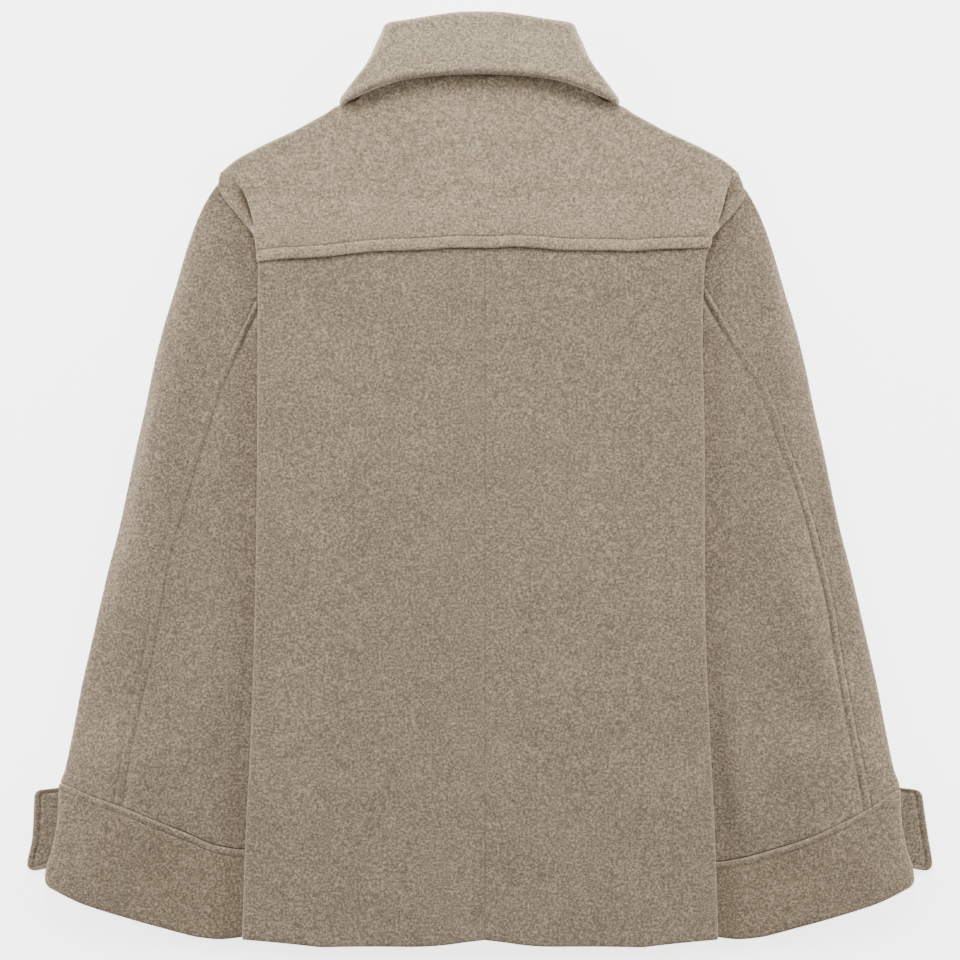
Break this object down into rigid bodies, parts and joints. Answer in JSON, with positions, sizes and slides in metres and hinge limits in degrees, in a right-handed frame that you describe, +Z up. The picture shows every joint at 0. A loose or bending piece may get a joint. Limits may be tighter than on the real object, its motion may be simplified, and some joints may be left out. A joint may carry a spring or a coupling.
{
  "type": "winter coat",
  "caption": "Short wool coat laid flat on its front: turned-down collar, lapped back yoke, wide two-piece sleeves with deep cuffs and straps.",
  "frame": {"origin": "middle of the coat's plan, on the surface that it lies on", "axes": "+Z up from the surface, out of the coat's back; +Y from the hem towards the collar; -X is the wearer's left"},
  "size_m": [0.7572, 0.779, 0.0188],
  "materials": {
    "wool": "brushed mottled wool melton, beige grey",
    "collar_wool": "brushed mottled wool melton, beige grey",
    "horn": "satin moulded button"
  },
  "bodies": {
    "root": {"yoke": "wool", "back_left": "wool", "back_right": "wool", "front_left": "wool", "front_right": "wool", "collar_fall": "collar_wool", "collar_stand": "collar_wool", "sleeve_top_left": "wool", "sleeve_top_right": "wool", "sleeve_under_left": "wool", "sleeve_under_right": "wool", "cuff_left": "wool", "cuff_right": "wool", "cuff_tab_left": "wool", "cuff_tab_right": "wool", "front_button_1": "horn", "front_button_2": "horn", "front_button_3": "horn", "front_button_4": "horn", "front_button_5": "horn"}
  },
  "joints": []
}
